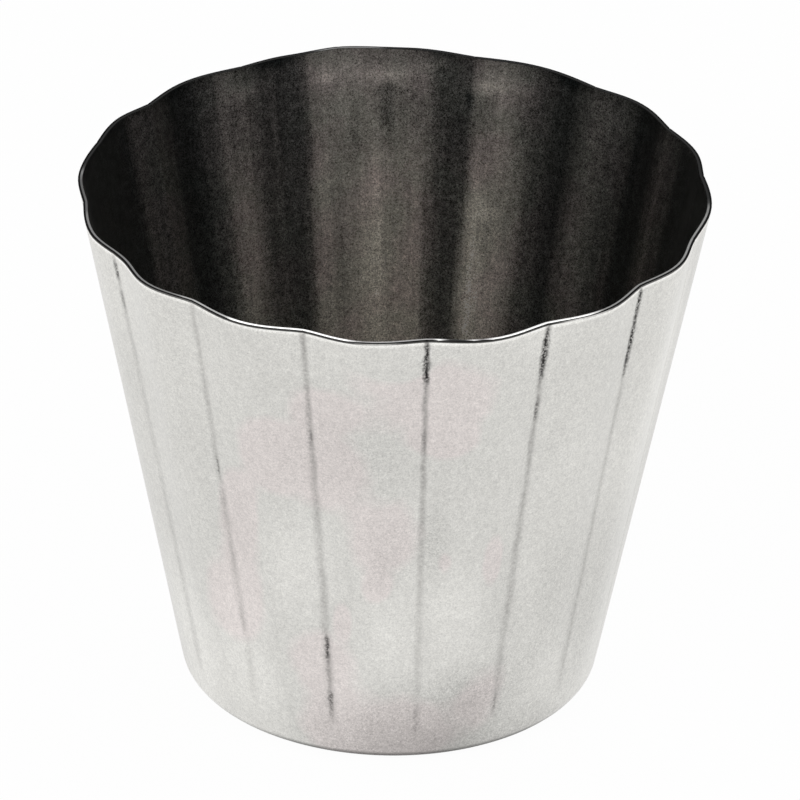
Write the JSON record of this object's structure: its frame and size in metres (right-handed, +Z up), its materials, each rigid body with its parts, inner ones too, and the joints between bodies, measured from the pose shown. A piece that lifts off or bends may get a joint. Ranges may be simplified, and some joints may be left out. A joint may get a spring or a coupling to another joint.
{
  "type": "fluted baking mould",
  "caption": "Small tapered baking mould of thin tinned sheet, with softly fluted walls, a level cut rim and a flat round base.",
  "frame": {"origin": "centre of the flat base, on the surface that it rests on", "axes": "+Z up along the axis of the cup, towards the open rim; +X and +Y each run through the crest of a flute"},
  "size_m": [0.07, 0.07, 0.0588],
  "materials": {
    "tin": "satin tinned steel sheet, pale outside and darkened inside"
  },
  "bodies": {
    "root": {"mould": "tin"}
  },
  "joints": []
}
